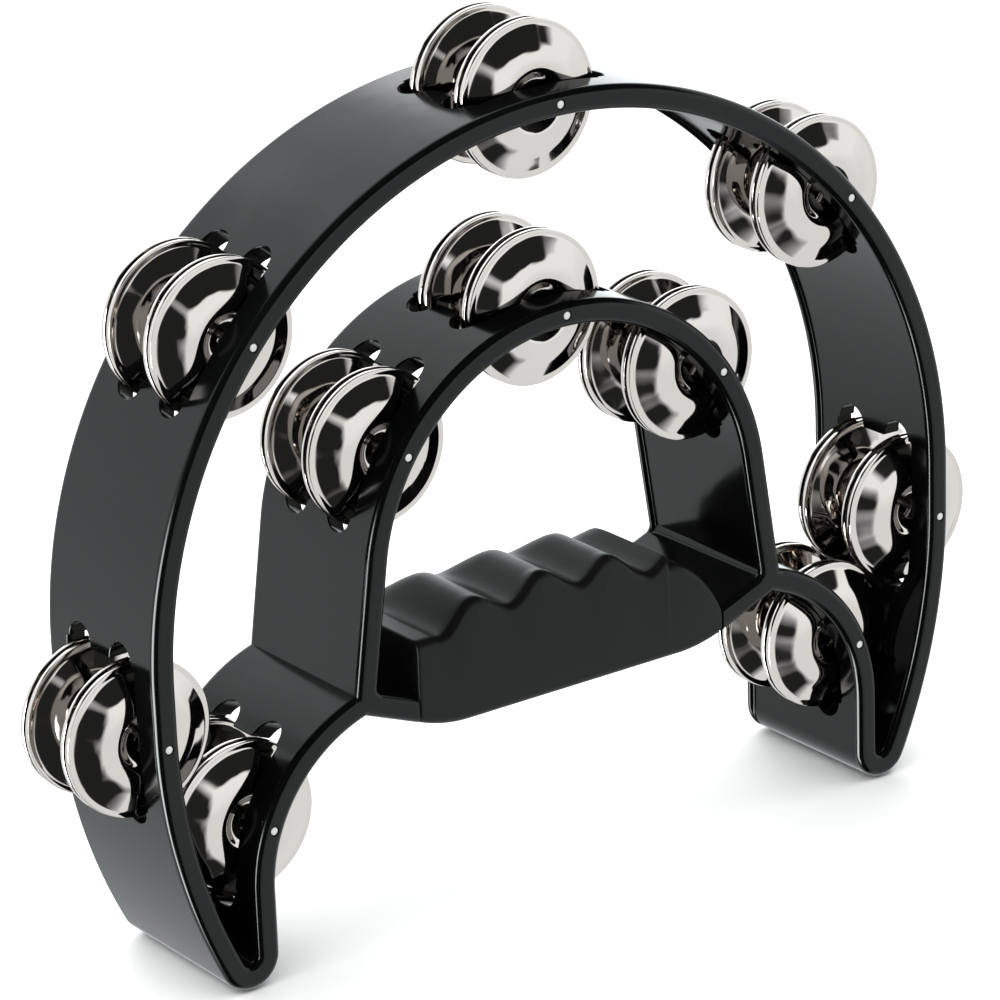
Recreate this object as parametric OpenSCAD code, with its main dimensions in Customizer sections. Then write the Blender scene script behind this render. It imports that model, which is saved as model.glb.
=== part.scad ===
// Half-moon jingle frame: a crescent frame with a hand bar, finger-grooved grip,
// ten cross pins and two rows of clam-shell jingle pairs.
// Origin: on the floor plane, midway between the two horn tips. X is the width,
// Y the depth (front towards -Y), Z is up. Millimetres.

/* [Frame] */
// Outer radius of the big arch
arch_r = 127; // [122:1:132]
// Height of the big arch's centre above the floor
arch_z = 85.5; // [83:0.5:88]
// Length of the straight run below the arch on each side
side_drop = 11.7; // [8:0.1:14]
// Radius of each flank between the straight run and the horn tip
side_r = 156; // [150:1:165]
// Depth of the frame, front face to back face
frame_depth = 50; // [48:0.5:54]
// Width of the band at the front and back rims
rim_w = 6.4; // [6:0.1:7]
// Depth of each rim
rim_d = 2.4; // [2:0.1:3]
// Thickness of the wall between the rims
wall_t = 5.2; // [5:0.1:5.5]
// Radius of the rounded horn tips
tip_r = 8.4; // [8:0.1:9]

/* [Inner arch and bar] */
// Outer radius of the inner arch
inner_r = 64; // [62:0.5:66]
// Height of the inner arch's centre above the floor
inner_z = 93.8; // [92:0.1:95]
// How far round the inner arch turns, each side of the top
inner_turn = 86; // [85:1:87]
// Half width of the inner legs where they meet the horns
leg_x = 68; // [67:0.5:69]
// Height of the crease between leg and horn wall
leg_z = 71; // [70:0.5:72]
// Radius of the horn's inner wall, on the side towards the arch
horn_r = 47; // [46:0.5:48]
// Height of the centre of that radius above the floor
horn_z = 24.5; // [23:0.5:26]
// Height of the underside of the hand bar
bar_z = 54.1; // [53:0.1:55]
// Half length of the bar's level part
bar_flat = 41.4; // [40:0.1:43]
// Rise of the bar's ends towards the legs, in degrees
bar_rise = 21.3; // [20:0.1:22]

/* [Slots and pins] */
// Distance of each pin from the band's outer surface
pin_inset = 3.1; // [3:0.1:3.3]
// Pin radius
pin_r = 1.2; // [1:0.05:1.25]
// Angle of the two upper outer stations from the top
outer_turn = 49; // [47:0.5:51]
// Height of the two lower outer stations
outer_low_z = 70.8; // [69:0.1:73]
// Angle of the two side stations of the inner arch from the top
inner_station = 55.1; // [54:0.1:57]
// Angle of each horn station above the level of the horn radius centre
horn_station = 22; // [20:0.5:24]
// Half length of a slot between its end lobes
slot_half = 19.2; // [19:0.1:19.5]
// Half width of a slot
slot_half_w = 15.4; // [15.3:0.1:16]
// Radius of the rounded lobes at the slot ends
lobe_r = 4.8; // [4.6:0.1:4.9]

/* [Jingles] */
// Jingle outer radius
jingle_r = 20.5; // [20:0.1:20.6]
// Sheet thickness
sheet = 0.6; // [0.5:0.05:0.65]
// Distance of each row's middle plane from the frame's middle plane
row_y = 9.4; // [9.3:0.05:9.5]
// Distance of a jingle's flange face from its row's middle plane
flange_y = 1.9; // [1.85:0.05:2]
// Height of the raised ring over the flange
ring_h = 3.6; // [3.2:0.1:3.6]
// Radius of the raised ring's crest
ring_r = 9.8; // [9:0.1:10.5]
// Width of the flat flange
flange_w = 2.5; // [2.2:0.1:3]
// Height of the dished centre over the flange
dish_h = 1.5; // [1.2:0.1:2]
// Radius of the flat dished centre
dish_r = 4.5; // [4:0.1:5]
// Radius of the loose hole for the pin
hole_r = 2.6; // [2.55:0.05:2.7]
// Hang of a jingle's middle below its pin
hang = 1.2; // [1.1:0.05:1.3]
// Turn of the rim lip towards the partner jingle
lip_h = 1.4; // [1.2:0.05:1.45]

/* [Grip] */
// Reach of the grip to the left of the middle
grip_left = 49.7; // [49:0.1:50.5]
// Reach of the grip to the right of the middle
grip_right = 48; // [47.5:0.1:49]
// Joint line between the grip and the bar's rims
grip_gap = 0.2; // [0.15:0.05:0.3]
// Height of the highest finger ridge above the floor
ridge_z = 88.5; // [87:0.5:90]
// Depth of the finger grooves
groove_d = 6; // [5:0.5:6.5]
// Spacing of the finger ridges
ridge_pitch = 21.7; // [21:0.1:22]
// Position of the first ridge
ridge_x = -32; // [-33:0.5:-31]
// Share of the pitch over which a groove deepens
groove_skew = 0.57; // [0.5:0.01:0.6]
// Position of the crown's highest point
crown_x = -8; // [-10:0.5:-6]
// Radius of the crown along the bar
crown_r = 161; // [150:1:175]
// Height of the lip at the grip's left end
lip_z = 79.3; // [79:0.1:79.6]
// Where the round-over at the right end starts
round_x = 30; // [29:0.5:31]
// Depth position where the grip starts to fall away to the back
shoulder_y = -1; // [-3:0.5:1]
// Height of the grip's back edge
back_z = 69; // [68:0.5:71]

/* [Hidden] */
$fn = 64;
// Small overlap that keeps cuts clean
eps = 0.01;
// How much the pocket's rounded end overlaps its two sides
tip_ease = 0.05;
// Reach of cutting shapes well beyond the frame
far = 200;
// How far a slot is cut above and below the band's outer surface at a pin
slot_over = 2;
slot_under = 14;
side_cx = arch_r - side_r;
side_cz = arch_z - side_drop;
tip_cx = side_cx + sqrt(pow(side_r - tip_r, 2) - pow(side_cz - tip_r, 2));
tip_turn = atan2(tip_r - side_cz, tip_cx - side_cx);
horn_cx = tip_cx - tip_r + rim_w - horn_r;
wall_y = frame_depth / 2 - rim_d;
dome_r = jingle_r - flange_w;
leg_top = [inner_r * sin(inner_turn), inner_z + inner_r * cos(inner_turn)];
leg_len = norm([leg_x, leg_z] - leg_top);
leg_u = ([leg_x, leg_z] - leg_top) / leg_len;
leg_n = [-leg_u[1], leg_u[0]];
// How far a leg's faces run on inside the horn wall and the arch
leg_sink = 9;
round_z = 80;
round_drop = 16.5;
round_power = 0.85;
grip_step = 0.7;

black_plastic = [0.06, 0.065, 0.07];
grip_black = [0.045, 0.045, 0.048];
steel = [0.78, 0.78, 0.77];
nickel = [0.8, 0.79, 0.76];

// A right-hand half outline with its mirror image, as one closed loop
function both_sides(half) =
    concat(half, [for (i = [len(half) - 1:-1:0]) [-half[i][0], half[i][1]]]);

// Height of the bar's underside, and of its upper face when t is the band width
function bar_height(x, t) =
    bar_z + max(0, abs(x) - bar_flat) * tan(bar_rise) + t / cos(bar_rise);

// Height of the finger-grooved top of the grip
function groove(t) = t < groove_skew
    ? groove_d * (1 - cos(180 * t / groove_skew)) / 2
    : groove_d * (1 + cos(180 * (t - groove_skew) / (1 - groove_skew))) / 2;
function phase(x) = (x - ridge_x) / ridge_pitch - floor((x - ridge_x) / ridge_pitch);
function crown(x) = ridge_z - pow(x - crown_x, 2) / (2 * crown_r);
function end_round(x) = x < round_x
    ? far
    : round_z - round_drop
        + round_drop * pow(max(0, 1 - pow((x - round_x) / (grip_right - round_x), 2)), round_power);
function lip(x) = x < ridge_x - (1 - groove_skew) * ridge_pitch ? lip_z : far;
function grip_top(x) = min(crown(x) - groove(phase(x)), end_round(x), lip(x));

// Outer face of a jingle over its flange, at radius r
function ring(r) = r > ring_r
    ? (ring_h - sheet / 2) * cos(90 * (r - ring_r) / (dome_r - ring_r)) + sheet / 2
    : dish_h + (ring_h - dish_h) * (0.5 + 0.5 * cos(180 * (ring_r - max(r, dish_r)) / (ring_r - dish_r)));

// Area inside the big arch and its flanks, set in by t, down to the horn tips
module arch_area(t) {
    translate([0, arch_z])
        intersection() {
            circle(arch_r - t);
            translate([-far, 0])
                square([2 * far, far]);
        }
    translate([t - arch_r, side_cz])
        square([2 * (arch_r - t), side_drop]);
    intersection() {
        translate([side_cx, side_cz])
            circle(side_r - t);
        translate([-side_cx, side_cz])
            circle(side_r - t);
        polygon(both_sides([
            [0, side_cz],
            [far, side_cz],
            [tip_cx + far * cos(tip_turn), tip_r + far * sin(tip_turn)],
            [tip_cx, tip_r]]));
    }
    for (s = [-1, 1])
        translate([s * tip_cx, tip_r])
            circle(t > 0 ? tip_r - t + tip_ease : tip_r);
}

// Open space between the horns, under the bar; t is the band width on the horns
module below_bar(t) {
    low_r = horn_r - t;
    intersection() {
        polygon(both_sides([
            [0, bar_z],
            [bar_flat, bar_z],
            [horn_cx + horn_r, bar_height(horn_cx + horn_r, 0)],
            [horn_cx + horn_r, -far]]));
        union() {
            for (s = [-1, 1])
                translate([s * horn_cx, horn_z])
                    circle(low_r);
            translate([-horn_cx, -far])
                square([2 * horn_cx, far + horn_z + low_r]);
            translate([-horn_cx - low_r, -far])
                square([2 * (horn_cx + low_r), far + horn_z]);
        }
    }
}

// Everything inside the crescent opening: inner arch, legs, bar and horn walls, filled
module inner_block() {
    leg_foot = leg_top + (leg_len + leg_sink) * leg_u;
    translate([0, inner_z])
        circle(inner_r);
    polygon(both_sides([leg_top - leg_sink * leg_u, leg_foot]));
    for (s = [-1, 1])
        translate([s * horn_cx, horn_z])
            circle(horn_r);
    translate([-horn_cx, 0])
        square([2 * horn_cx, horn_z + horn_r]);
    translate([-horn_cx - horn_r, -far])
        square([2 * (horn_cx + horn_r), far + horn_z]);
}

// Crescent opening between the two arches; t is the band width of the outer wall
module crescent(t) {
    difference() {
        arch_area(t);
        inner_block();
    }
}

// Hand opening inside the inner arch; t is the band width around it
module hand_hole(t) {
    side = leg_top - t * leg_n;
    corner = side + leg_u * ((bar_height(side[0], t) - side[1]) / (leg_u[1] - leg_u[0] * tan(bar_rise)));
    intersection() {
        translate([0, inner_z])
            circle(inner_r - t);
        translate([-far, inner_z])
            square([2 * far, far]);
    }
    polygon(both_sides([
        side - leg_sink * leg_u,
        corner,
        [bar_flat, bar_height(bar_flat, t)]]));
}

// Section of the frame with band width t
module section(t) {
    difference() {
        arch_area(0);
        crescent(t);
        hand_hole(t);
        below_bar(t);
    }
}

// Stretch of the bar that the grip covers, between its end joints
module grip_span(gap) {
    translate([-grip_left - gap, 0])
        square([grip_left + grip_right + 2 * gap, arch_z]);
}

// A flat shape in X and Z, given depth along Y from y0 to y1
module slab(y0, y1) {
    translate([0, y1, 0])
        rotate([90, 0, 0])
            linear_extrude(y1 - y0)
                children();
}

// Stations: position of the pin in X and Z, and the direction that its slot faces
function on_arch(r, z, turn) = [(r - pin_inset) * sin(turn), z + (r - pin_inset) * cos(turn), turn];
function on_flank(z) = let (a = asin((side_cz - z) / (side_r - pin_inset)))
    [side_cx + (side_r - pin_inset) * cos(a), z, 90 + a];
function on_horn(turn) = [
    horn_cx + (horn_r - pin_inset) * cos(turn),
    horn_z + (horn_r - pin_inset) * sin(turn),
    90 - turn];
function mirrored(s) = [-s[0], s[1], -s[2]];

outer_1 = mirrored(on_flank(outer_low_z));
outer_2 = mirrored(on_arch(arch_r, arch_z, outer_turn));
outer_3 = on_arch(arch_r, arch_z, 0);
outer_4 = on_arch(arch_r, arch_z, outer_turn);
outer_5 = on_flank(outer_low_z);
inner_1 = mirrored(on_arch(inner_r, inner_z, inner_station));
inner_2 = on_arch(inner_r, inner_z, 0);
inner_3 = on_arch(inner_r, inner_z, inner_station);
horn_1 = mirrored(on_horn(horn_station));
horn_2 = on_horn(horn_station);
stations = [outer_1, outer_2, outer_3, outer_4, outer_5, inner_1, inner_2, inner_3, horn_1, horn_2];

// Slot outline seen from outside the band: a window with two rounded lobes at each end
module slot_window() {
    square([2 * slot_half, 2 * slot_half_w], center = true);
    for (u = [-1, 1])
        for (v = [-1, 1])
            translate([u * slot_half, v * row_y])
                circle(lobe_r);
}

// Cut for one station's slot
module slot_cut(s) {
    translate([s[0], 0, s[1]])
        rotate([0, s[2], 0])
            translate([0, 0, pin_inset - slot_under])
                linear_extrude(slot_under + slot_over)
                    slot_window();
}

// A pin's cylinder through the whole depth of the frame, lengthened by extra at both ends
module pin_rod(s, extra) {
    translate([s[0], frame_depth / 2 + extra, s[1]])
        rotate([90, 0, 0])
            cylinder(r = pin_r, h = frame_depth + 2 * extra);
}

module pin(s) color(steel) pin_rod(s, 0);

// One jingle, face up: flange at z = 0, raised ring upwards, hole in the middle
module jingle_blank() {
    outer = concat(
        [[jingle_r, -lip_h]],
        [[jingle_r, 0]],
        [[dome_r, 0]],
        [for (i = [1:10]) let (r = dome_r - (dome_r - ring_r) * i / 10) [r, ring(r)]],
        [for (i = [1:8]) let (r = ring_r - (ring_r - dish_r) * i / 8) [r, ring(r)]],
        [[hole_r, dish_h]]);
    inner = concat(
        [[hole_r, dish_h - sheet]],
        [for (i = [8:-1:1]) let (r = ring_r - (ring_r - dish_r) * i / 8) [r, ring(r) - sheet]],
        [for (i = [10:-1:1]) let (r = dome_r - (dome_r - ring_r) * i / 10) [r, ring(r) - sheet]],
        [[dome_r, -sheet]],
        [[jingle_r - sheet, -sheet]],
        [[jingle_r - sheet, -lip_h]]);
    rotate_extrude()
        polygon(concat(outer, inner));
}

// Jingle at station s, in row -1 (front) or 1 (back), facing side -1 (front) or 1 (back)
module jingle(s, row, side) {
    color(nickel)
        translate([s[0], row * row_y + side * flange_y, s[1] - hang])
            rotate([-90 * side, 0, 0])
                jingle_blank();
}

module frame() {
    color(black_plastic)
        difference() {
            union() {
                slab(-wall_y, wall_y)
                    section(wall_t);
                for (y0 = [-frame_depth / 2, wall_y])
                    slab(y0, y0 + rim_d)
                        difference() {
                            section(rim_w);
                            grip_span(grip_gap);
                        }
            }
            for (s = stations) {
                slot_cut(s);
                pin_rod(s, eps);
            }
        }
}

module grip() {
    n = ceil((grip_left + grip_right) / grip_step);
    xs = [for (i = [0:n]) -grip_left + (grip_left + grip_right) * i / n];
    half = frame_depth / 2;
    color(grip_black)
        difference() {
            slab(-half, half)
                polygon(concat(
                    [for (x = xs) [x, grip_top(x)]],
                    [[grip_right, bar_height(grip_right, 0)]],
                    [[bar_flat, bar_z]],
                    [[-bar_flat, bar_z]],
                    [[-grip_left, bar_height(grip_left, 0)]]));
            slab(-wall_y, wall_y)
                section(wall_t);
            translate([-far, 0, 0])
                rotate([90, 0, 90])
                    linear_extrude(2 * far)
                        polygon([
                            [shoulder_y, ridge_z],
                            [half, back_z],
                            [half + rim_w, back_z],
                            [half + rim_w, far],
                            [shoulder_y, far]]);
        }
}

module pin_outer_1() pin(outer_1);
module pin_outer_2() pin(outer_2);
module pin_outer_3() pin(outer_3);
module pin_outer_4() pin(outer_4);
module pin_outer_5() pin(outer_5);
module pin_inner_1() pin(inner_1);
module pin_inner_2() pin(inner_2);
module pin_inner_3() pin(inner_3);
module pin_horn_1() pin(horn_1);
module pin_horn_2() pin(horn_2);

module jingle_outer_1_front_a() jingle(outer_1, -1, -1);
module jingle_outer_1_front_b() jingle(outer_1, -1, 1);
module jingle_outer_1_back_a() jingle(outer_1, 1, -1);
module jingle_outer_1_back_b() jingle(outer_1, 1, 1);
module jingle_outer_2_front_a() jingle(outer_2, -1, -1);
module jingle_outer_2_front_b() jingle(outer_2, -1, 1);
module jingle_outer_2_back_a() jingle(outer_2, 1, -1);
module jingle_outer_2_back_b() jingle(outer_2, 1, 1);
module jingle_outer_3_front_a() jingle(outer_3, -1, -1);
module jingle_outer_3_front_b() jingle(outer_3, -1, 1);
module jingle_outer_3_back_a() jingle(outer_3, 1, -1);
module jingle_outer_3_back_b() jingle(outer_3, 1, 1);
module jingle_outer_4_front_a() jingle(outer_4, -1, -1);
module jingle_outer_4_front_b() jingle(outer_4, -1, 1);
module jingle_outer_4_back_a() jingle(outer_4, 1, -1);
module jingle_outer_4_back_b() jingle(outer_4, 1, 1);
module jingle_outer_5_front_a() jingle(outer_5, -1, -1);
module jingle_outer_5_front_b() jingle(outer_5, -1, 1);
module jingle_outer_5_back_a() jingle(outer_5, 1, -1);
module jingle_outer_5_back_b() jingle(outer_5, 1, 1);
module jingle_inner_1_front_a() jingle(inner_1, -1, -1);
module jingle_inner_1_front_b() jingle(inner_1, -1, 1);
module jingle_inner_1_back_a() jingle(inner_1, 1, -1);
module jingle_inner_1_back_b() jingle(inner_1, 1, 1);
module jingle_inner_2_front_a() jingle(inner_2, -1, -1);
module jingle_inner_2_front_b() jingle(inner_2, -1, 1);
module jingle_inner_2_back_a() jingle(inner_2, 1, -1);
module jingle_inner_2_back_b() jingle(inner_2, 1, 1);
module jingle_inner_3_front_a() jingle(inner_3, -1, -1);
module jingle_inner_3_front_b() jingle(inner_3, -1, 1);
module jingle_inner_3_back_a() jingle(inner_3, 1, -1);
module jingle_inner_3_back_b() jingle(inner_3, 1, 1);
module jingle_horn_1_front_a() jingle(horn_1, -1, -1);
module jingle_horn_1_front_b() jingle(horn_1, -1, 1);
module jingle_horn_1_back_a() jingle(horn_1, 1, -1);
module jingle_horn_1_back_b() jingle(horn_1, 1, 1);
module jingle_horn_2_front_a() jingle(horn_2, -1, -1);
module jingle_horn_2_front_b() jingle(horn_2, -1, 1);
module jingle_horn_2_back_a() jingle(horn_2, 1, -1);
module jingle_horn_2_back_b() jingle(horn_2, 1, 1);

frame();
grip();
pin_outer_1();
pin_outer_2();
pin_outer_3();
pin_outer_4();
pin_outer_5();
pin_inner_1();
pin_inner_2();
pin_inner_3();
pin_horn_1();
pin_horn_2();
jingle_outer_1_front_a();
jingle_outer_1_front_b();
jingle_outer_1_back_a();
jingle_outer_1_back_b();
jingle_outer_2_front_a();
jingle_outer_2_front_b();
jingle_outer_2_back_a();
jingle_outer_2_back_b();
jingle_outer_3_front_a();
jingle_outer_3_front_b();
jingle_outer_3_back_a();
jingle_outer_3_back_b();
jingle_outer_4_front_a();
jingle_outer_4_front_b();
jingle_outer_4_back_a();
jingle_outer_4_back_b();
jingle_outer_5_front_a();
jingle_outer_5_front_b();
jingle_outer_5_back_a();
jingle_outer_5_back_b();
jingle_inner_1_front_a();
jingle_inner_1_front_b();
jingle_inner_1_back_a();
jingle_inner_1_back_b();
jingle_inner_2_front_a();
jingle_inner_2_front_b();
jingle_inner_2_back_a();
jingle_inner_2_back_b();
jingle_inner_3_front_a();
jingle_inner_3_front_b();
jingle_inner_3_back_a();
jingle_inner_3_back_b();
jingle_horn_1_front_a();
jingle_horn_1_front_b();
jingle_horn_1_back_a();
jingle_horn_1_back_b();
jingle_horn_2_front_a();
jingle_horn_2_front_b();
jingle_horn_2_back_a();
jingle_horn_2_back_b();
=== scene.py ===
"""Half-moon tambourine in glossy black plastic, with nickel-plated jingles and a finger-grooved rubber grip.

The frame, grip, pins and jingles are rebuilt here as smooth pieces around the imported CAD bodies.
Sizes are in millimetres, as in the CAD source, and turned into metres when a mesh is made.
X runs along the hand bar, Y from the front face to the back face, Z up from the horn tips.
"""

import math
import random

import bmesh  # noqa: E402
import bpy  # noqa: E402
import numpy as np  # noqa: E402
from mathutils import Matrix, Vector  # noqa: E402
from mathutils.geometry import tessellate_polygon  # noqa: E402


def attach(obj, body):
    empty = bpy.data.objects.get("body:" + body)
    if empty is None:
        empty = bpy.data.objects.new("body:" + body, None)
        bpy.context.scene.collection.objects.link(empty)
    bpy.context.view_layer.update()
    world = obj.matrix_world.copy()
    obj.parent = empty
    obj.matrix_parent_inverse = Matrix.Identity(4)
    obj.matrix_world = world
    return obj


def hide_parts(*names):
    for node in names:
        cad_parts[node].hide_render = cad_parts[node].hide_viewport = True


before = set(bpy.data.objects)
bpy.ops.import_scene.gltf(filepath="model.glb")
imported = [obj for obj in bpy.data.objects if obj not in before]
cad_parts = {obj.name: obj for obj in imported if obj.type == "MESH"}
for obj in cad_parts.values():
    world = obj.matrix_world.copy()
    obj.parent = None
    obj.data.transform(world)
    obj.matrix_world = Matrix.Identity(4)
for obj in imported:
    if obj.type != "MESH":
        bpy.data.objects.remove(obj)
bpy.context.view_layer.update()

MM = 0.001

# Frame: big arch, flanks and horn tips
ARCH_R, ARCH_Z = 127.0, 85.5
SIDE_DROP, SIDE_R = 11.7, 156.0
HALF_DEPTH = 25.0
RIM_W, RIM_D, WALL_T = 6.4, 2.4, 5.2
RECESS = RIM_W - WALL_T
TIP_R = 8.4
SIDE_CX, SIDE_CZ = ARCH_R - SIDE_R, ARCH_Z - SIDE_DROP
TIP_CX = SIDE_CX + math.sqrt((SIDE_R - TIP_R) ** 2 - (SIDE_CZ - TIP_R) ** 2)
TIP_TURN = math.atan2(TIP_R - SIDE_CZ, TIP_CX - SIDE_CX)

# Inner arch, legs, horn walls and hand bar
INNER_R, INNER_Z = 64.0, 93.8
LEG_X, LEG_Z = 68.0, 71.0
LEG_TURN = math.radians(82.0)
HORN_R, HORN_Z = 47.0, 24.5
HORN_CX = TIP_CX - TIP_R + RIM_W - HORN_R
BAR_Z, BAR_FLAT = 54.1, 41.4
BAR_RISE = math.radians(21.3)
CORNER_R, BEND_R = 2.0, 40.0
BEND_REACH = BEND_R * math.tan(BAR_RISE / 2)

# Edge roundings, and how far the flat face's own ring of points lies inside the rim's rounding
RIM_ROUND = 1.95
FACE_MARGIN = 0.25
STEP_ROUND = 0.4
SLOT_ROUND = 0.45
INNER_FLARE = 0.3
FLARE_REACH, CUTTER_CLEAR = 1.0, 1.5

# Slots, pins and jingles
PIN_INSET, PIN_R = 3.1, 1.2
PIN_GAP, PIN_SET_BACK = 0.12, 0.12
UPPER_TURN = math.radians(49)
INNER_TURN = math.radians(55.1)
HORN_RISE = math.radians(22)
FLANK_PIN_Z = 70.8
SLOT_HALF, SLOT_HALF_W, LOBE_R, SLOT_CORNER_R = 19.2, 15.4, 4.8, 0.7
ROW_Y, FLANGE_Y, HANG = 9.4, 1.9, 1.2
JINGLE_R, HOLE_R, SHEET, LIP_H = 20.5, 2.6, 0.55, 1.4

# Grip
GRIP_LEFT, GRIP_RIGHT = -49.7, 48.0
GRIP_GAP = 0.2

POINT_STEP = 1.5


# ---------------------------------------------------------------- outlines


def arc(cx, cz, radius, start, end, step=POINT_STEP):
    """Points along an arc in X and Z, angles in radians from +X towards +Z."""
    count = max(6, math.ceil(abs(end - start) * radius / step))
    turns = [start + (end - start) * i / count for i in range(count + 1)]
    return [(cx + radius * math.cos(a), cz + radius * math.sin(a)) for a in turns]


def without_repeats(points, near=1e-4):
    """The closed loop with repeated points dropped."""
    kept = []
    for p in points:
        if not kept or math.dist(p[:2], kept[-1][:2]) > near:
            kept.append(p)
    if math.dist(kept[0][:2], kept[-1][:2]) <= near:
        kept.pop()
    return kept


def both_sides(half):
    """The right half of a loop, with its mirror image on the left, as one closed loop."""
    return without_repeats(half + [(-p[0], *p[1:]) for p in reversed(half)])


def with_recess(points, depths):
    """Points with the wall's depth behind the rims there: one depth, or the first and last of a ramp."""
    first, last = depths if isinstance(depths, tuple) else (depths, depths)
    top = max(1, len(points) - 1)
    return [(x, z, first + (last - first) * i / top) for i, (x, z) in enumerate(points)]


def leg_direction():
    """The top of the right leg's outer face, the unit vector down it, and its outward normal."""
    top = (INNER_R * math.sin(LEG_TURN), INNER_Z + INNER_R * math.cos(LEG_TURN))
    down = Vector((LEG_X - top[0], LEG_Z - top[1])).normalized()
    return Vector(top), down, Vector((-down.y, down.x))


def bar_underside(x):
    """Height of the bar's underside, with its two bends rounded."""
    past = abs(x) - (BAR_FLAT - BEND_REACH)
    if past <= 0:
        return BAR_Z
    if past < BEND_R * math.sin(BAR_RISE):
        return BAR_Z + BEND_R - math.sqrt(BEND_R**2 - past**2)
    return BAR_Z + (abs(x) - BAR_FLAT) * math.tan(BAR_RISE)


def crossing(line_point, line_dir, centre, radius, side):
    """Where a line, followed forwards, enters (side -1) or leaves (side 1) a circle."""
    to = Vector(line_point) - Vector(centre)
    b = to.dot(line_dir)
    reach = -b + side * math.sqrt(b * b - to.length_squared + radius * radius)
    return Vector(line_point) + Vector(line_dir) * reach


def outer_loop():
    """The frame's outside: arch, flank, horn tip, the horn's low side and the bar's underside."""
    low_r = HORN_R - RIM_W
    slope = Vector((math.cos(BAR_RISE), math.sin(BAR_RISE)))
    meet = crossing((BAR_FLAT, BAR_Z), slope, (HORN_CX, HORN_Z), low_r, 1)
    meet_turn = math.atan2(meet.y - HORN_Z, meet.x - HORN_CX)
    low_turn = math.radians(-120)
    bend = arc(BAR_FLAT - BEND_REACH, BAR_Z + BEND_R, BEND_R, BAR_RISE - math.pi / 2, -math.pi / 2)
    return both_sides(
        with_recess(arc(0, ARCH_Z, ARCH_R, math.pi / 2, 0), 0)
        + with_recess(arc(SIDE_CX, SIDE_CZ, SIDE_R, 0, TIP_TURN), 0)
        + with_recess(arc(TIP_CX, TIP_R, TIP_R, TIP_TURN, low_turn, 0.6), 0)
        + with_recess(arc(TIP_CX, TIP_R, TIP_R, low_turn, -math.pi, 0.6), (0, RECESS))
        + with_recess(arc(HORN_CX, HORN_Z, low_r, 0, meet_turn), RECESS)
        + with_recess([(meet.x - 0.02, meet.y - 0.01)], 0)
        + with_recess(bend, 0)
        + with_recess([(0, BAR_Z)], 0)
    )


def crescent_loop():
    """The opening between the two arches, with the pocket inside each horn."""
    top, down, _ = leg_direction()
    horn = Vector((HORN_CX, HORN_Z))
    crease = crossing(top, down, horn, HORN_R, -1)
    crease_turn = math.atan2(crease.y - HORN_Z, crease.x - HORN_CX)
    pocket_r = TIP_R - RIM_W
    return both_sides(
        with_recess(arc(0, INNER_Z, INNER_R, math.pi / 2, math.pi / 2 - LEG_TURN), 0)
        + with_recess([tuple(crease)], 0)
        + with_recess(arc(HORN_CX, HORN_Z, HORN_R, crease_turn, 0), 0)
        + with_recess(arc(TIP_CX, TIP_R, pocket_r, -math.pi, TIP_TURN, 0.25), (0, RECESS))
        + with_recess(arc(SIDE_CX, SIDE_CZ, SIDE_R - RIM_W, TIP_TURN, 0), RECESS)
        + with_recess(arc(0, ARCH_Z, ARCH_R - RIM_W, 0, math.pi / 2), RECESS)
    )


def hand_loop():
    """The hand opening inside the inner arch, above the bar."""
    top, down, out = leg_direction()
    side = top - out * RIM_W
    lift = RIM_W / math.cos(BAR_RISE)
    slope = Vector((math.cos(BAR_RISE), math.sin(BAR_RISE)))
    knee = Vector((BAR_FLAT, BAR_Z + lift))
    # the corner between the bar's sloping top and the leg's inner face
    cross = down.x * -slope.y + down.y * slope.x
    gap = knee - side
    reach = (gap.x * -slope.y + gap.y * slope.x) / cross
    corner = side + down * reach
    half_turn = math.acos(-down.dot(-slope)) / 2
    centre = corner + (-slope - down).normalized() * CORNER_R / math.sin(half_turn)
    start = math.atan2(-slope.x, slope.y)
    end = math.atan2(out.y, out.x)
    return both_sides(
        with_recess([(0, BAR_Z + lift), tuple(knee)], 0)
        + with_recess(arc(centre.x, centre.y, CORNER_R, start, end, 0.3), (0, RECESS))
        + with_recess(arc(0, INNER_Z, INNER_R - RIM_W, math.pi / 2 - LEG_TURN, math.pi / 2), RECESS)
    )


def loop_normals(points):
    """For each point of a loop, the mitred normal that points into the open space."""
    p = np.array([q[:2] for q in points])
    ahead = np.roll(p, -1, axis=0) - p
    ahead /= np.linalg.norm(ahead, axis=1)[:, None]
    behind = np.roll(ahead, 1, axis=0)
    left_a = np.stack([-ahead[:, 1], ahead[:, 0]], axis=1)
    left_b = np.stack([-behind[:, 1], behind[:, 0]], axis=1)
    mitre = left_a + left_b
    length2 = np.maximum((mitre**2).sum(axis=1), 0.6)
    return 2 * mitre / length2[:, None]


# ---------------------------------------------------------------- frame


def half_section():
    """(y, inset, share of the recess) from the front face to the middle of the depth."""
    rows = [(-HALF_DEPTH, RIM_ROUND + FACE_MARGIN, 0.0)]
    for i in range(9):
        a = math.radians(90 * i / 8)
        rows.append((-HALF_DEPTH + RIM_ROUND * (1 - math.cos(a)), RIM_ROUND * (1 - math.sin(a)), 0.0))
    edge = -HALF_DEPTH + RIM_D
    share = STEP_ROUND / RECESS
    for i in range(4):
        a = math.radians(30 * i)
        rows.append((edge - STEP_ROUND + STEP_ROUND * math.sin(a), 0.0, share * (1 - math.cos(a))))
    for i in range(4):
        a = math.radians(30 * i)
        rows.append((edge + STEP_ROUND * (1 - math.cos(a)), 0.0, 1 - share * (1 - math.sin(a))))
    rows.append((0.0, 0.0, 1.0))
    return rows


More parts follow.
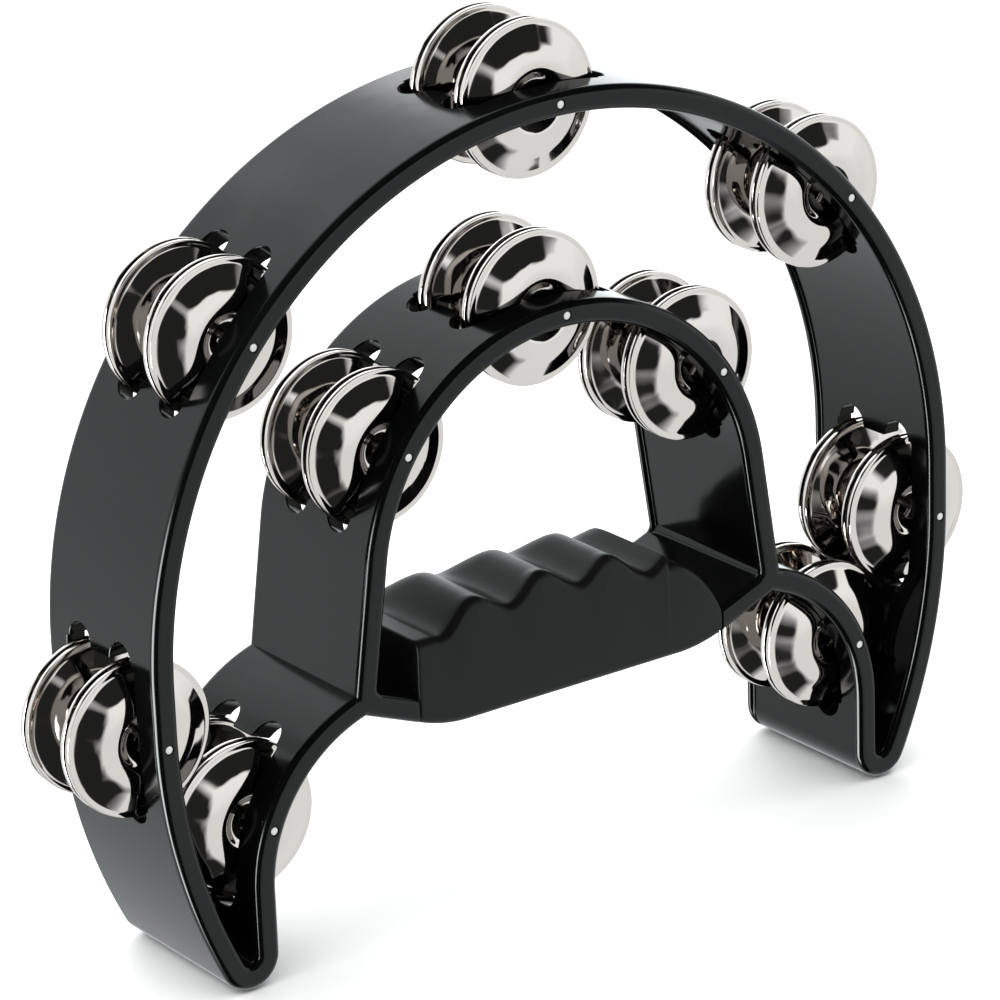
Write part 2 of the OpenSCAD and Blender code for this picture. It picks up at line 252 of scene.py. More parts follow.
def frame_mesh():
    """The frame without its slots: walls between raised rims, with rounded edges."""
    front = half_section()
    rows = front + [(-y, inset, share) for y, inset, share in reversed(front[:-1])]
    verts, faces, front_rings, back_rings = [], [], [], []
    for loop in (outer_loop(), crescent_loop(), hand_loop()):
        normals = loop_normals(loop)
        base, count = len(verts), len(loop)
        for y, inset, share in rows:
            for (x, z, recess), n in zip(loop, normals):
                depth = inset + recess * share
                verts.append((x - n[0] * depth, y, z - n[1] * depth))
        faces += loft_faces(len(rows), count, base)
        last = base + (len(rows) - 1) * count
        front_rings.append(list(range(base, base + count)))
        back_rings.append(list(range(last, last + count)))
    faces += cap_faces(verts, front_rings, True) + cap_faces(verts, back_rings, False)
    return mesh_from("frame_shell", verts, faces)


def loft_faces(rings, count, base=0, closed=False):
    """Faces between successive rings of count points each; closed also joins the last ring to the first."""
    faces = []
    for r in range(rings if closed else rings - 1):
        a, b = base + r * count, base + (r + 1) % rings * count
        for i in range(count):
            j = (i + 1) % count
            faces.append((a + i, a + j, b + j, b + i))
    return faces


def cap_faces(verts, rings, front):
    """Triangles that fill the frame's flat front or back face between its rings."""
    order = [i for ring in rings for i in ring]
    faces = []
    for tri in tessellate_polygon([[Vector((verts[i][0], verts[i][2], 0)) for i in ring] for ring in rings]):
        a, b, c = (order[k] for k in tri)
        pa, pb, pc = (Vector(verts[k]) for k in (a, b, c))
        faces_front = (pb - pa).cross(pc - pa).y < 0
        faces.append((a, b, c) if faces_front == front else (a, c, b))
    return faces


def mesh_from(name, verts, faces):
    """A mesh in metres from points in millimetres."""
    mesh = bpy.data.meshes.new(name)
    mesh.from_pydata([(x * MM, y * MM, z * MM) for x, y, z in verts], [], faces)
    mesh.update()
    return mesh


def stations():
    """By name: each pin's x and z, and the direction its slot faces, in radians from +Z towards +X."""
    found = {}

    def both(left, right, x, z, turn):
        """Adds a station on the right and its mirror image on the left."""
        found[left] = (-x, z, -turn)
        found[right] = (x, z, turn)

    pin_r = ARCH_R - PIN_INSET
    found["outer_3"] = (0.0, ARCH_Z + pin_r, 0.0)
    x, z = pin_r * math.sin(UPPER_TURN), ARCH_Z + pin_r * math.cos(UPPER_TURN)
    both("outer_2", "outer_4", x, z, UPPER_TURN)
    pin_r = SIDE_R - PIN_INSET
    drop = math.asin((SIDE_CZ - FLANK_PIN_Z) / pin_r)
    both("outer_1", "outer_5", SIDE_CX + pin_r * math.cos(drop), FLANK_PIN_Z, math.pi / 2 + drop)
    pin_r = INNER_R - PIN_INSET
    found["inner_2"] = (0.0, INNER_Z + pin_r, 0.0)
    x, z = pin_r * math.sin(INNER_TURN), INNER_Z + pin_r * math.cos(INNER_TURN)
    both("inner_1", "inner_3", x, z, INNER_TURN)
    pin_r = HORN_R - PIN_INSET
    x, z = HORN_CX + pin_r * math.cos(HORN_RISE), HORN_Z + pin_r * math.sin(HORN_RISE)
    both("horn_1", "horn_2", x, z, math.pi / 2 - HORN_RISE)
    return found


def slot_outline():
    """A slot's edge, seen from outside the band: a window with two rounded lobes at each end."""
    corner = SLOT_CORNER_R
    straight = SLOT_HALF - corner
    count = math.ceil(straight / POINT_STEP)
    # the quarter runs in (v, u): v across the band, u along it
    quarter = [(SLOT_HALF_W, straight * i / count) for i in range(count)]
    quarter += fillet((SLOT_HALF_W, SLOT_HALF), corner)
    lobe = [math.radians(a) for a in range(0, 181, 12)]
    quarter += [(ROW_Y + LOBE_R * math.cos(a), SLOT_HALF + LOBE_R * math.sin(a)) for a in lobe]
    inner_v = ROW_Y - LOBE_R
    quarter += [(inner_v - corner * 0.3, SLOT_HALF - corner * 0.7)]
    quarter += [(inner_v - corner, SLOT_HALF - corner * 0.95), (0.0, SLOT_HALF - corner)]
    # the other three quarters are its mirror images
    second = [(-v, u) for v, u in reversed(quarter)]
    third = [(-v, -u) for v, u in quarter]
    fourth = [(v, -u) for v, u in reversed(quarter)]
    loop = without_repeats([*quarter, *second, *third, *fourth])
    return [(u, v) for v, u in loop]


def fillet(corner, r):
    """The window's corner rounded by r, from the side along the band to the side across it."""
    cx, cy = corner[0] - r, corner[1] - r
    turns = [math.radians(t) for t in (0, 30, 60, 90)]
    return [(cx + r * math.cos(a), cy + r * math.sin(a)) for a in turns]


def height_over(loop, station):
    """The recessed wall face's height over a station, as a function of the distance along the slot."""
    x0, z0, turn = station
    along = (math.cos(turn), -math.sin(turn))
    up = (math.sin(turn), math.cos(turn))
    normals = loop_normals(loop)
    # only the stretch of wall near the slot
    near_h, near_u = 14, 34
    pts = []
    for (x, z, recess), n in zip(loop, normals):
        dx, dz = x - n[0] * recess - x0, z - n[1] * recess - z0
        u, h = dx * along[0] + dz * along[1], dx * up[0] + dz * up[1]
        if abs(h) < near_h and abs(u) < near_u:
            pts.append((u, h))
    pts.sort()
    us, hs = [p[0] for p in pts], [p[1] for p in pts]
    return lambda u: float(np.interp(u, us, hs))


def edge_flare():
    """(growth, height over the face) of a cutter that leaves a rounded slot edge, from narrow to wide."""
    turns = [math.radians(a) for a in (0, 25, 50, 72)]
    rows = [(SLOT_ROUND * (1 - math.cos(a)), -SLOT_ROUND * (1 - math.sin(a))) for a in turns]
    grow, height = rows[-1]
    steepest = turns[-1]
    return rows + [(grow + FLARE_REACH * math.sin(steepest), height + FLARE_REACH * math.cos(steepest))]


def cutter_rows(outline, outer_face, inner_face):
    """(growth, height function) of each ring of a slot's cutter, from outside the band to inside it."""
    # flat ends, clear of the curved faces
    high = max(outer_face(u) for u, _ in outline) + CUTTER_CLEAR
    low = min(inner_face(u) for u, _ in outline) - CUTTER_CLEAR
    flare = edge_flare()
    widest = flare[-1][0]
    rows = [(widest, lambda u: high)]
    rows += [(grow, lambda u, dh=dh: outer_face(u) + dh) for grow, dh in reversed(flare)]
    for grow, dh in flare:
        rise = -dh * (INNER_FLARE if dh < 0 else 1.0)
        rows.append((grow * INNER_FLARE, lambda u, rise=rise: inner_face(u) + rise))
    rows.append((widest * INNER_FLARE, lambda u: low))
    return rows


def slot_cutter(station, outer_face, inner_face):
    """Closed cutter for a slot, flared where it meets the two faces so that the edges come out rounded."""
    outline = slot_outline()
    signed = sum(a[0] * b[1] - b[0] * a[1] for a, b in zip(outline, outline[1:] + outline[:1]))
    normals = loop_normals(outline) * (-1 if signed > 0 else 1)
    x0, z0, turn = station
    rows = cutter_rows(outline, outer_face, inner_face)
    verts = []
    for grow, height in rows:
        for (u, v), n in zip(outline, normals):
            uu, vv = u + n[0] * grow, v + n[1] * grow
            h = height(uu)
            x = x0 + uu * math.cos(turn) + h * math.sin(turn)
            z = z0 - uu * math.sin(turn) + h * math.cos(turn)
            verts.append((x, vv, z))
    count = len(outline)
    faces = loft_faces(len(rows), count)
    faces.append(tuple(reversed(range(count))))
    faces.append(tuple(range((len(rows) - 1) * count, len(rows) * count)))
    return verts, faces


def rod(station, radius, half_length, sides=32):
    """Closed cylinder along Y about a station's pin axis."""
    x0, z0, _ = station
    verts, faces = [], []
    for y in (-half_length, half_length):
        for i in range(sides):
            a = 2 * math.pi * i / sides
            verts.append((x0 + radius * math.cos(a), y, z0 + radius * math.sin(a)))
    for i in range(sides):
        j = (i + 1) % sides
        faces.append((i, sides + i, sides + j, j))
    faces.append(tuple(range(sides)))
    faces.append(tuple(reversed(range(sides, 2 * sides))))
    return verts, faces


def block(low, high):
    """Closed box between two corners."""
    x0, y0, z0 = low
    x1, y1, z1 = high
    verts = [(x, y, z) for x in (x0, x1) for y in (y0, y1) for z in (z0, z1)]
    faces = [(0, 1, 3, 2), (4, 6, 7, 5), (0, 4, 5, 1), (2, 3, 7, 6), (0, 2, 6, 4), (1, 5, 7, 3)]
    return verts, faces


def joined(parts):
    """Several (verts, faces) as one."""
    verts, faces = [], []
    for v, f in parts:
        base = len(verts)
        verts += v
        faces += [tuple(base + i for i in face) for face in f]
    return verts, faces


def cut(obj, parts, name):
    """Cuts closed shapes out of obj."""
    verts, faces = joined(parts)
    mesh = mesh_from(name, verts, faces)
    outward_faces(mesh)
    cutter = bpy.data.objects.new(name, mesh)
    bpy.context.scene.collection.objects.link(cutter)
    mod = obj.modifiers.new(name, "BOOLEAN")
    mod.operation = "DIFFERENCE"
    mod.solver = "MANIFOLD"
    mod.object = cutter
    bpy.context.view_layer.update()
    result = bpy.data.meshes.new_from_object(obj.evaluated_get(bpy.context.evaluated_depsgraph_get()))
    obj.modifiers.remove(mod)
    obj.data = result
    bpy.data.objects.remove(cutter)


def outward_faces(mesh):
    """Turns all faces outwards."""
    bm = bmesh.new()
    bm.from_mesh(mesh)
    bmesh.ops.recalc_face_normals(bm, faces=bm.faces)
    bm.to_mesh(mesh)
    bm.free()


def add_piece(name, mesh, body, nodes, material, sharp=35):
    """Links a finished mesh as a piece that rides on a body and stands for its CAD nodes."""
    obj = bpy.data.objects.new(name, mesh)
    bpy.context.scene.collection.objects.link(obj)
    shade(mesh, sharp)
    mesh.materials.clear()
    mesh.materials.append(material)
    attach(obj, body)
    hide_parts(*nodes)
    return obj


def shade(mesh, sharp):
    """Smooth shading with edges sharper than the angle kept crisp."""
    mesh.polygons.foreach_set("use_smooth", [True] * len(mesh.polygons))
    mesh.set_sharp_from_angle(angle=math.radians(sharp))


def level_shading(obj):
    """Lets large faces set the shading, so that it stays even right up to the rounded edges."""
    modifier = obj.modifiers.new("level", "WEIGHTED_NORMAL")
    modifier.mode = "FACE_AREA"
    modifier.weight = 100
    modifier.keep_sharp = True


def build_frame(material):
    """The moulded frame with its slots, pin holes and grip seat cut out."""
    mesh = frame_mesh()
    outward_faces(mesh)
    shell = bpy.data.objects.new("frame_body", mesh)
    bpy.context.scene.collection.objects.link(shell)
    outside, crescent, hand = outer_loop(), crescent_loop(), hand_loop()
    walls = {"outer": (outside, crescent), "inner": (crescent, hand), "horn": (crescent, outside)}
    cutters = []
    for name, station in stations().items():
        upper, lower = (height_over(loop, station) for loop in walls[name.split("_")[0]])
        cutters.append(slot_cutter(station, upper, lower))
    cut(shell, cutters, "slot_cutters")
    cut(shell, [rod(s, PIN_R + PIN_GAP, HALF_DEPTH + 1) for s in stations().values()], "pin_holes")
    # the grip's seat: both rims removed along the bar
    low, high = BAR_Z - 5, BAR_Z + 20
    span = (GRIP_LEFT - GRIP_GAP, GRIP_RIGHT + GRIP_GAP)
    wall_y = HALF_DEPTH - RIM_D
    ends = [(-HALF_DEPTH - 2, -wall_y), (wall_y, HALF_DEPTH + 2)]
    cut(shell, [block((span[0], a, low), (span[1], b, high)) for a, b in ends], "grip_seat")
    mesh = shell.data
    bpy.data.objects.remove(shell)
    frame_body = add_piece("frame_body", mesh, "frame", ["frame"], material, 32)
    level_shading(frame_body)


# ---------------------------------------------------------------- jingles and pins


def ring_profile():
    """(radius, height over the flange) of a jingle's outer face, from the lip to the hole."""
    dome_r, ring_r, ring_h = 18.9, 8.6, 3.75
    dish_r, dish_h = 4.4, 1.5
    points = [(JINGLE_R - 0.12, -LIP_H), (JINGLE_R, -LIP_H + 0.15), (JINGLE_R, -0.35)]
    points += [(JINGLE_R - 0.1, -0.1), (JINGLE_R - 0.35, 0.0), (19.6, 0.0), (dome_r + 0.25, 0.0)]
    # the dome: a straight cone for the first share of its width, then easing off to level at the ring
    straight, foot_h = 0.4, 0.05
    for i in range(25):
        t = i / 24
        bend = max(0.0, t - straight) ** 2 / (2 * (1 - straight))
        height = foot_h + (ring_h - foot_h) * (t - bend) / (0.5 + straight / 2)
        points.append((dome_r - (dome_r - ring_r) * t, height))
    for i in range(1, 15):
        t = i / 14
        r = ring_r - (ring_r - dish_r) * t
        points.append((r, dish_h + (ring_h - dish_h) * (0.5 + 0.5 * math.cos(math.pi * t))))
    return points + [(3.6, dish_h - 0.02), (HOLE_R + 0.12, dish_h), (HOLE_R, dish_h - 0.12)]


def jingle_mesh(name, facing, seed):
    """A pressed jingle about the Y axis; facing is -1 for the front and 1 for the back."""
    rng = random.Random(seed)
    outer = ring_profile()
    inner = [(r, h - SHEET) for r, h in outer if r < JINGLE_R - SHEET]
    inner = [(JINGLE_R - SHEET, -LIP_H), (JINGLE_R - SHEET, -SHEET)] + inner
    profile = outer + list(reversed(inner))
    sides = 96
    verts = []
    phase = rng.uniform(0, 2 * math.pi)
    warp = rng.uniform(0.02, 0.05)
    for k in range(sides):
        a = 2 * math.pi * k / sides
        bend = warp * math.cos(2 * (a + phase))
        for r, h in profile:
            y = facing * (h + bend * (r / JINGLE_R) ** 2)
            verts.append((r * math.cos(a), y, r * math.sin(a)))
    mesh = mesh_from(name, verts, loft_faces(sides, len(profile), closed=True))
    outward_faces(mesh)
    return mesh


def build_jingles(material):
    """Two pairs of jingles on each pin, hollow sides facing, each hanging a little low on it."""
    rows = {"front": -1, "back": 1}
    sides = {"a": -1, "b": 1}
    for index, (station_name, (x, z, _)) in enumerate(sorted(stations().items())):
        for row, row_sign in rows.items():
            for side, facing in sides.items():
                node = f"jingle_{station_name}_{row}_{side}"
                seed = index * 4 + (row_sign + 1) + (facing + 1) // 2
                mesh = jingle_mesh(node, facing, seed)
                y = row_sign * ROW_Y + facing * FLANGE_Y
                mesh.transform(Matrix.Translation((x * MM, y * MM, (z - HANG) * MM)))
                add_piece(node + "_shape", mesh, node, [node], material, 40)


def build_pins(material):
    """One pin per slot, with slightly rounded ends just inside the faces."""
    half = HALF_DEPTH - PIN_SET_BACK
    profile = [(PIN_R - 0.3, -half), (PIN_R - 0.08, -half + 0.1), (PIN_R, -half + 0.3)]
    profile += [(r, -y) for r, y in reversed(profile)]
    sides = 40
    for name, (x0, z0, _) in stations().items():
        verts, faces = [], []
        for k in range(sides):
            a = 2 * math.pi * k / sides
            verts += [(x0 + r * math.cos(a), y, z0 + r * math.sin(a)) for r, y in profile]
        n = len(profile)
        for k in range(sides):
            m = (k + 1) % sides
            faces += [(k * n + i, k * n + i + 1, m * n + i + 1, m * n + i) for i in range(n - 1)]
        faces.append(tuple(k * n for k in range(sides)))
        faces.append(tuple(k * n + n - 1 for k in reversed(range(sides))))
        mesh = mesh_from("pin_" + name, verts, faces)
        outward_faces(mesh)
        add_piece("pin_" + name + "_shape", mesh, "frame", ["pin_" + name], material, 50)


# ---------------------------------------------------------------- grip


RIDGE_Z, GROOVE_D, RIDGE_PITCH, RIDGE_X = 88.5, 6.0, 21.7, -32.0
GROOVE_SKEW = 0.57
CROWN_X, CROWN_R = -8.0, 161.0
LIP_Z = 79.3
SHOULDER_Y, BACK_Z = -1.0, 69.0
# right end of the top: where it starts to fall, its height there, how far it falls, and how suddenly
TAIL_X, TAIL_Z, TAIL_DROP, TAIL_POWER = 30.0, 80.0, 16.5, 0.85


def groove(t):
    """Depth of a finger groove at a share t of its pitch, steeper on its right side."""
    if t < GROOVE_SKEW:
        return GROOVE_D * (1 - math.cos(math.pi * t / GROOVE_SKEW)) / 2
    return GROOVE_D * (1 + math.cos(math.pi * (t - GROOVE_SKEW) / (1 - GROOVE_SKEW))) / 2


def grip_top(x):
    """Height of the grip's finger-grooved top along its straight front part."""
    t = (x - RIDGE_X) / RIDGE_PITCH
    top = RIDGE_Z - (x - CROWN_X) ** 2 / (2 * CROWN_R) - groove(t - math.floor(t))
    if x > TAIL_X:
        k = min(1.0, (x - TAIL_X) / (GRIP_RIGHT - TAIL_X))
        top = min(top, TAIL_Z - TAIL_DROP * (1 - (1 - k * k) ** TAIL_POWER))
    if x < RIDGE_X - (1 - GROOVE_SKEW) * RIDGE_PITCH:
        top = min(top, LIP_Z)
    return top


def rounding(y, z, radius, start, steps):
    """Points along a quarter turn about (y, z), from a start angle in degrees."""
    turns = [math.radians(start + 90 * i / steps) for i in range(steps + 1)]
    return [(y + radius * math.cos(a), z + radius * math.sin(a)) for a in turns]


def grip_section(x, shrink):
    """Closed (y, z) outline of the grip across the bar at x, pulled in by shrink."""
    top, bottom = grip_top(x), bar_underside(x)
    front, back = -HALF_DEPTH + shrink, HALF_DEPTH - shrink
    z0 = bottom + shrink * 0.4
    z1 = max(top - shrink, z0 + 1.0)
    r_top = min(2.6, (z1 - z0) * 0.45)
    r_low = min(2.3, (z1 - z0) * 0.3)
    slope = (RIDGE_Z - BACK_Z) / (HALF_DEPTH - SHOULDER_Y)

    def palm(y):
        """Height of the palm side, falling away to the back behind the shoulder."""
        fall = RIDGE_Z - max(0.0, y - SHOULDER_Y) * slope
        blend = 1.2
        return -blend * math.log(math.exp(-fall / blend) + math.exp(-z1 / blend))

    z_back = min(z1, max(palm(back), z0 + 2 * r_low))
    pts = rounding(front + r_low, z0 + r_low, r_low, 180, 4)
    pts += rounding(back - r_low, z0 + r_low, r_low, 270, 4)
    pts += rounding(back - r_low, z_back - r_low, r_low, 0, 4)
    steps = 22
    for i in range(1, steps):
        y = back - r_low - (back - r_low - front - r_top) * i / steps
        pts.append((y, max(palm(y), z0 + 1.0)))
    return pts + rounding(front + r_top, z1 - r_top, r_top, 90, 6)


def build_grip(material):
    """The grip: sections across the bar, joined from its left end to its right, with rounded ends."""
    end_round = 0.7
    xs = [GRIP_LEFT + end_round * (1 - math.cos(math.radians(a))) for a in (0, 20, 40, 60, 80)]
    shrinks = [end_round * (1 - math.sin(math.radians(a))) for a in (0, 20, 40, 60, 80)]
    inner = np.arange(GRIP_LEFT + end_round, GRIP_RIGHT - end_round, 0.5)
    xs += list(inner)
    shrinks += [0.0] * len(inner)
    xs += [GRIP_RIGHT - end_round * (1 - math.sin(math.radians(a))) for a in (0, 25, 50, 75, 90)]
    shrinks += [end_round * (1 - math.cos(math.radians(a))) for a in (0, 25, 50, 75, 90)]
    sections = [grip_section(x, s) for x, s in zip(xs, shrinks)]
    verts = [(x, y, z) for x, pts in zip(xs, sections) for y, z in pts]
    n = len(sections[0])
    faces = loft_faces(len(xs), n)
    faces.append(tuple(range(n)))
    faces.append(tuple(range((len(xs) - 1) * n, len(xs) * n)))
    mesh = mesh_from("grip_body", verts, faces)
    outward_faces(mesh)
    add_piece("grip_body", mesh, "frame", ["grip"], material, 60)


# ---------------------------------------------------------------- materials


def new_material(name):
    """A material, its nodes, its links and its main shader."""
    mat = bpy.data.materials.new(name)
    mat.use_nodes = True
    nodes = mat.node_tree.nodes
    return mat, nodes, mat.node_tree.links, nodes["Principled BSDF"]


def noise_node(nodes, links, scale, detail=3.0, roughness=0.55, stretch=1.0):
    """Noise in object space, so that its grain keeps its real size; stretch draws it out along X."""
    coord = nodes.new("ShaderNodeTexCoord")
    mapping = nodes.new("ShaderNodeMapping")
    mapping.inputs["Scale"].default_value = (1.0 / stretch, 1.0, 1.0)
    links.new(coord.outputs["Object"], mapping.inputs["Vector"])
    noise = nodes.new("ShaderNodeTexNoise")
    noise.inputs["Scale"].default_value = scale
    noise.inputs["Detail"].default_value = detail
    noise.inputs["Roughness"].default_value = roughness
    links.new(mapping.outputs["Vector"], noise.inputs["Vector"])
    return noise.outputs["Fac"]


def mapped(nodes, links, value, low, high, from_low=0.0, from_high=1.0):
    """The value moved from one range to another and held to it."""
    node = nodes.new("ShaderNodeMapRange")
    node.inputs["From Min"].default_value = from_low
    node.inputs["From Max"].default_value = from_high
    node.inputs["To Min"].default_value = low
    node.inputs["To Max"].default_value = high
    links.new(value, node.inputs["Value"])
    return node.outputs["Result"]


def bumped(nodes, links, shader, height, strength, distance):
    """Gives a shader fine relief from a height."""
    bump = nodes.new("ShaderNodeBump")
    bump.inputs["Strength"].default_value = strength
    bump.inputs["Distance"].default_value = distance
    links.new(height, bump.inputs["Height"])
    links.new(bump.outputs["Normal"], shader.inputs["Normal"])


def tinted(nodes, links, value, dark, light):
    """A colour between dark and light, by the value."""
    ramp = nodes.new("ShaderNodeMix")
    ramp.data_type = "RGBA"
    ramp.inputs["A"].default_value = (*dark, 1)
    ramp.inputs["B"].default_value = (*light, 1)
    links.new(value, ramp.inputs["Factor"])
    return ramp.outputs["Result"]


def black_plastic():
    """Glossy black plastic, slightly uneven."""
    mat, nodes, links, shader = new_material("gloss_black_plastic")
    cloud = noise_node(nodes, links, 45)
    base = tinted(nodes, links, cloud, (0.0012, 0.0013, 0.0014), (0.0022, 0.0023, 0.0024))
    links.new(base, shader.inputs["Base Color"])
    links.new(mapped(nodes, links, cloud, 0.10, 0.18, 0.3, 0.7), shader.inputs["Roughness"])
    shader.inputs["IOR"].default_value = 1.36
    bumped(nodes, links, shader, noise_node(nodes, links, 140, 2.0), 0.12, 0.0002)
    return mat


def nickel():
    """Bright nickel plating with the faint waves of pressed sheet."""
    mat, nodes, links, shader = new_material("bright_nickel")
    shader.inputs["Metallic"].default_value = 1.0
    cloud = noise_node(nodes, links, 90)
    base = tinted(nodes, links, cloud, (0.69, 0.635, 0.595), (0.74, 0.69, 0.65))
    links.new(base, shader.inputs["Base Color"])
    links.new(mapped(nodes, links, cloud, 0.03, 0.07, 0.3, 0.7), shader.inputs["Roughness"])
    bumped(nodes, links, shader, noise_node(nodes, links, 110, 0.0), 0.9, 0.0003)
    return mat


def pin_steel():
    """Plain, duller steel."""
    mat, nodes, links, shader = new_material("pin_steel")
    shader.inputs["Metallic"].default_value = 1.0
    cloud = noise_node(nodes, links, 400)
    base = tinted(nodes, links, cloud, (0.70, 0.69, 0.67), (0.86, 0.85, 0.83))
    links.new(base, shader.inputs["Base Color"])
    links.new(mapped(nodes, links, cloud, 0.25, 0.45), shader.inputs["Roughness"])
    return mat


def grip_rubber():
    """Satin black rubber with a fine grain drawn out along the bar."""
    mat, nodes, links, shader = new_material("grip_rubber")
    cloud = noise_node(nodes, links, 60)
    base = tinted(nodes, links, cloud, (0.002, 0.002, 0.002), (0.004, 0.004, 0.004))
    links.new(base, shader.inputs["Base Color"])
    links.new(mapped(nodes, links, cloud, 0.36, 0.48), shader.inputs["Roughness"])
    shader.inputs["IOR"].default_value = 1.33
    bumped(nodes, links, shader, noise_node(nodes, links, 1400, 3.0, stretch=12.0), 0.35, 0.0001)
    return mat


def floor_material():
    """Plain pale floor."""
    mat, nodes, links, shader = new_material("pale_floor")
    cloud = noise_node(nodes, links, 3)
    base = tinted(nodes, links, cloud, (0.80, 0.80, 0.80), (0.84, 0.84, 0.84))
    links.new(base, shader.inputs["Base Color"])
    shader.inputs["Roughness"].default_value = 0.7
    return mat


# ---------------------------------------------------------------- camera, floor and light


CAMERA_TARGET = Vector((-4.93, 0.0, 99.9)) * MM
CAMERA_TURN = math.radians(-35.55)
CAMERA_RISE = math.radians(19.93)
CAMERA_ROLL = math.radians(-2.04)
CAMERA_DISTANCE = 1.207
CAMERA_LENS = 168.2

SUN_STRENGTH, SUN_SPREAD = 6.0, math.radians(110)
SUN_TILT = (math.radians(-12), math.radians(-8), 0.0)

# Studio seen in reflections. Dark patches: direction, and the degrees where each starts and stops fading.
DARK_SIDE, DARK_SIDE_SPREAD = (-0.84, -0.545, 0.0), (42, 52)
DARK_FOOT, DARK_FOOT_SPREAD = (-0.25, -0.45, -0.86), (18, 31)
PAPER_GLOW = 0.96
BACKDROP_GLOW = 1.15
ROOM_GLOW = 0.02
# the paper's upper edge stands lower towards the front, by this much
FRONT_LIFT = 0.24
WAVER, WAVER_SCALE = 0.5, 2.6
# share of the glow left in a reflection of a reflection
REPEAT_GLOW = 0.3
# soft boxes: direction, height over width, the degrees where each starts and stops fading, strength
SOFT_GLOWS = (
    ((0.1, 0.76, 0.64), 1.0, 20, 36, 1.2),
    ((0.65, 0.75, 0.1), 1.0, 16, 30, 1.1),
    ((-0.98, 0.02, -0.25), 2.0, 14, 22, 24.0),
)


def build_camera():
    """The camera, at the photograph's angle."""
    a, e, r = CAMERA_TURN, CAMERA_RISE, CAMERA_ROLL
    back = Vector((math.sin(a) * math.cos(e), -math.cos(a) * math.cos(e), math.sin(e)))
    right = Vector((math.cos(a), math.sin(a), 0.0))
    up = back.cross(right)
    turned_right = right * math.cos(r) + up * math.sin(r)
    turned_up = up * math.cos(r) - right * math.sin(r)
    data = bpy.data.cameras.new("camera")
    data.lens = CAMERA_LENS
    data.sensor_width = 36.0
    data.clip_end = 20.0
    camera = bpy.data.objects.new("camera", data)
    bpy.context.scene.collection.objects.link(camera)
    turn = Matrix((turned_right, turned_up, back)).transposed().to_4x4()
    camera.matrix_world = Matrix.Translation(CAMERA_TARGET + back * CAMERA_DISTANCE) @ turn
    bpy.context.scene.camera = camera


def build_floor():
    """A plain floor just under the horn tips, left out of the reflections."""
    half = 3.0
    verts = [(-half, -half, 0), (half, -half, 0), (half, half, 0), (-half, half, 0)]
    mesh = bpy.data.meshes.new("floor")
    mesh.from_pydata(verts, [], [(0, 1, 2, 3)])
    floor = bpy.data.objects.new("floor", mesh)
    floor.location.z = -0.0005
    mesh.materials.append(floor_material())
    bpy.context.scene.collection.objects.link(floor)
    floor.visible_glossy = False


def near_direction(nodes, links, vector, direction, narrow, wide):
    """1 where the vector lies within narrow degrees of a direction, falling to 0 at wide degrees."""
    dot = nodes.new("ShaderNodeVectorMath")
    dot.operation = "DOT_PRODUCT"
    dot.inputs[1].default_value = Vector(direction).normalized()
    links.new(vector, dot.inputs[0])
    wide_cos, narrow_cos = math.cos(math.radians(wide)), math.cos(math.radians(narrow))
    return mapped(nodes, links, dot.outputs["Value"], 0.0, 1.0, wide_cos, narrow_cos)


def combined(nodes, links, operation, first, second):
    """Two values, each a number or a socket, put through a maths operation."""
    node = nodes.new("ShaderNodeMath")
    node.operation = operation
    for socket, value in zip(node.inputs, (first, second)):
        if isinstance(value, (int, float)):
            socket.default_value = value
        else:
            links.new(value, socket)
    return node.outputs["Value"]


def flattened(nodes, links, vector, height):
    """The vector with its Z scaled, at unit length."""
    flat = nodes.new("ShaderNodeVectorMath")
    flat.operation = "MULTIPLY"
    flat.inputs[1].default_value = (1.0, 1.0, height)
    links.new(vector, flat.inputs[0])
    unit = nodes.new("ShaderNodeVectorMath")
    unit.operation = "NORMALIZE"
    links.new(flat.outputs["Vector"], unit.inputs[0])
    return unit.outputs["Vector"]


def wavering(nodes, links, vector):
    """The direction moved a little by a soft noise, so that the edges of the lit areas are not straight."""
    noise = nodes.new("ShaderNodeTexNoise")
    noise.inputs["Scale"].default_value = WAVER_SCALE
    noise.inputs["Detail"].default_value = 1.0
    links.new(vector, noise.inputs["Vector"])
    shift = nodes.new("ShaderNodeVectorMath")
    shift.operation = "MULTIPLY_ADD"
    shift.inputs[1].default_value = (WAVER,) * 3
    shift.inputs[2].default_value = (-WAVER / 2,) * 3
    links.new(noise.outputs["Color"], shift.inputs[0])
    moved = nodes.new("ShaderNodeVectorMath")
    moved.operation = "ADD"
    links.new(vector, moved.inputs[0])
    links.new(shift.outputs["Vector"], moved.inputs[1])
    return flattened(nodes, links, moved.outputs["Vector"], 1.0)


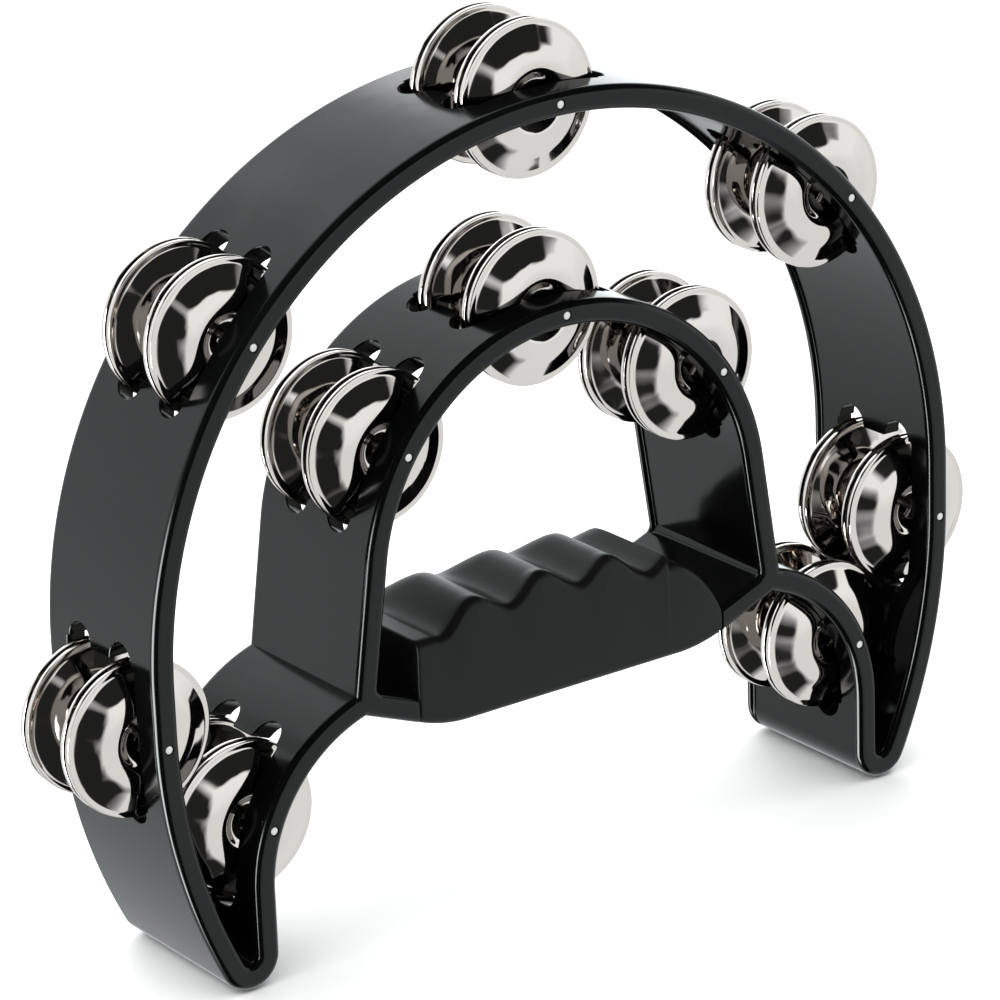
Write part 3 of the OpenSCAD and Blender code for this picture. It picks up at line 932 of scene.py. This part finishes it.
def studio_glow(nodes, links):
    """Strength of the studio: paper, soft boxes, and dark patches at the front left and low in front."""
    coord = wavering(nodes, links, nodes.new("ShaderNodeTexCoord").outputs["Generated"])
    split = nodes.new("ShaderNodeSeparateXYZ")
    links.new(coord, split.inputs["Vector"])
    side = near_direction(nodes, links, flattened(nodes, links, coord, 0.0), DARK_SIDE, *DARK_SIDE_SPREAD)
    foot = near_direction(nodes, links, coord, DARK_FOOT, *DARK_FOOT_SPREAD)
    dark = combined(nodes, links, "MAXIMUM", side, foot)
    paper = mapped(nodes, links, split.outputs["Z"], PAPER_GLOW, BACKDROP_GLOW, -0.25, 0.1)
    lift = mapped(nodes, links, split.outputs["Y"], FRONT_LIFT, 0.0, -0.9, -0.3)
    height = combined(nodes, links, "ADD", split.outputs["Z"], lift)
    paper = combined(nodes, links, "MULTIPLY", paper, mapped(nodes, links, height, 1.0, 0.0, 0.45, 0.53))
    total = combined(nodes, links, "MULTIPLY", paper, combined(nodes, links, "SUBTRACT", 1.0, dark))
    total = combined(nodes, links, "ADD", total, ROOM_GLOW)
    for direction, tall, narrow, wide, glow in SOFT_GLOWS:
        seen = flattened(nodes, links, coord, 1.0 / tall)
        spot = near_direction(nodes, links, seen, direction, narrow, wide)
        total = combined(nodes, links, "ADD", total, combined(nodes, links, "MULTIPLY", spot, glow))
    return total


def build_world():
    """Studio seen in reflections; the camera itself sees plain white."""
    world = bpy.data.worlds.new("studio")
    bpy.context.scene.world = world
    world.use_nodes = True
    nodes, links = world.node_tree.nodes, world.node_tree.links
    room = nodes["Background"]
    room.inputs["Color"].default_value = (0.94, 0.985, 1.0, 1)
    path = nodes.new("ShaderNodeLightPath")
    repeat = mapped(nodes, links, path.outputs["Glossy Depth"], 1.0, REPEAT_GLOW, 1.0, 2.0)
    links.new(combined(nodes, links, "MULTIPLY", studio_glow(nodes, links), repeat), room.inputs["Strength"])
    white = nodes.new("ShaderNodeBackground")
    white.inputs["Color"].default_value = (1.0, 1.0, 1.0, 1)
    mix = nodes.new("ShaderNodeMixShader")
    links.new(path.outputs["Is Camera Ray"], mix.inputs["Fac"])
    links.new(room.outputs["Background"], mix.inputs[1])
    links.new(white.outputs["Background"], mix.inputs[2])
    links.new(mix.outputs["Shader"], nodes["World Output"].inputs["Surface"])


def build_light():
    """One broad soft light from above, left out of the reflections."""
    data = bpy.data.lights.new("overhead", "SUN")
    data.energy = SUN_STRENGTH
    data.angle = SUN_SPREAD
    light = bpy.data.objects.new("overhead", data)
    light.rotation_euler = SUN_TILT
    light.visible_glossy = False
    bpy.context.scene.collection.objects.link(light)
    bpy.context.scene.view_settings.view_transform = "Standard"


build_floor()
build_world()
build_light()
build_camera()
plastic = black_plastic()
build_frame(plastic)
build_grip(grip_rubber())
build_jingles(nickel())
build_pins(pin_steel())
